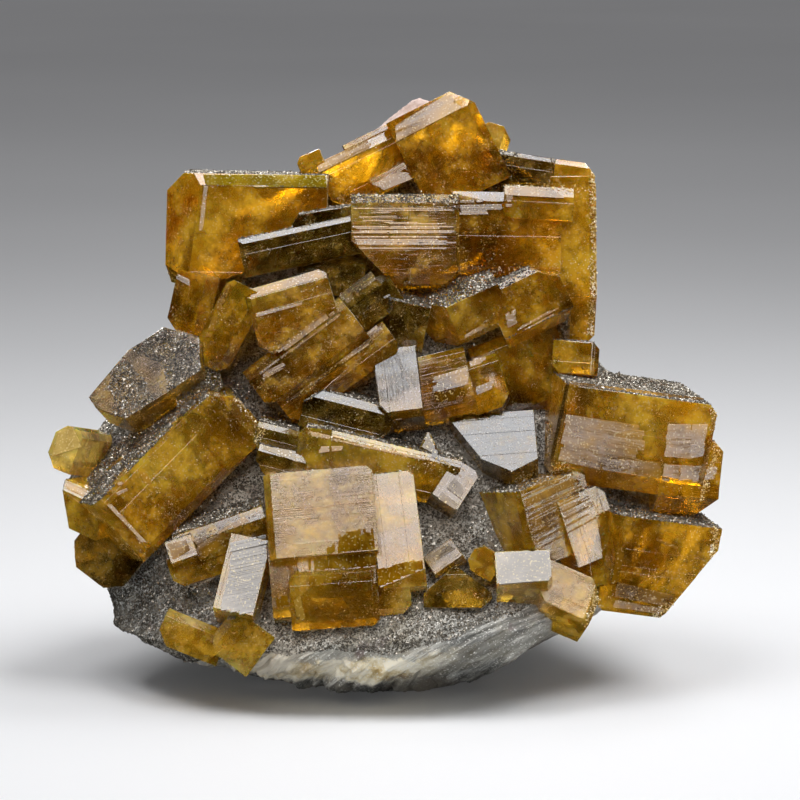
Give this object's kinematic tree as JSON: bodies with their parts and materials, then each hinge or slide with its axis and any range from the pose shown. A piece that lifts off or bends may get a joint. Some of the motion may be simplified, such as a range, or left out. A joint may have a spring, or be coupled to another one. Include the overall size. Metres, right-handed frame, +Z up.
{
  "type": "barite crystal cluster",
  "caption": "Cluster of golden blocky barite crystals with bevelled edges and dark drusy patches, grown over the front and far side of an upright lump of layered grey rock with a flat foot.",
  "frame": {"origin": "a point of the rock's flat foot, below the middle of the cluster", "axes": "+Z up, +X to the right of a viewer who looks at the crystals, the crystals face -Y"},
  "size_m": [0.1182, 0.0746, 0.1041],
  "materials": {
    "barite_amber": "glossy",
    "barite_olive": "glossy",
    "barite_pale": "glossy",
    "matrix_rock": "rough"
  },
  "bodies": {
    "root": {"rock_matrix": "matrix_rock", "front_plate_crystals": "barite_pale", "front_blade": "barite_pale", "rim_crystals": "barite_pale", "front_right_crystals": "barite_pale", "front_small_crystals": "barite_olive", "front_bead_crystal": "barite_amber", "left_bar_crystals": "barite_amber", "striated_crystals": "barite_amber", "right_foot_crystal": "barite_amber", "striped_small_crystal": "barite_olive", "leaning_bar_crystal": "barite_amber", "small_left_crystals": "barite_olive", "left_wing_crystals": "barite_amber", "left_foot_crystal": "barite_olive", "small_pyramid_crystal": "barite_olive", "right_wing_crystals": "barite_amber", "tilted_mirror_crystal": "barite_olive", "dark_slab_crystal": "barite_olive", "long_crystals": "barite_amber", "centre_mirror_crystal": "barite_olive", "centre_crystals": "barite_amber", "left_end_crystal": "barite_pale", "left_drusy_slab": "barite_olive", "middle_left_crystal": "barite_amber", "left_neck_crystals": "barite_amber", "middle_right_crystals": "barite_amber", "small_middle_crystals": "barite_olive", "middle_dark_crystal": "barite_olive", "upper_middle_crystal": "barite_amber", "upper_shelf_crystals": "barite_olive", "upper_right_crystals": "barite_amber", "centre_dark_crystal": "barite_amber", "right_shoulder_crystal": "barite_amber", "small_upper_crystal": "barite_olive", "upper_left_crystal": "barite_amber", "crown_crystals": "barite_amber", "upper_right_dark_crystal": "barite_olive", "pale_back_crystal": "barite_pale", "back_top_crystal": "barite_pale", "back_left_crystals": "barite_amber", "back_right_crystals": "barite_amber", "back_low_crystals": "barite_olive", "back_right_low_crystals": "barite_amber"}
  },
  "joints": []
}
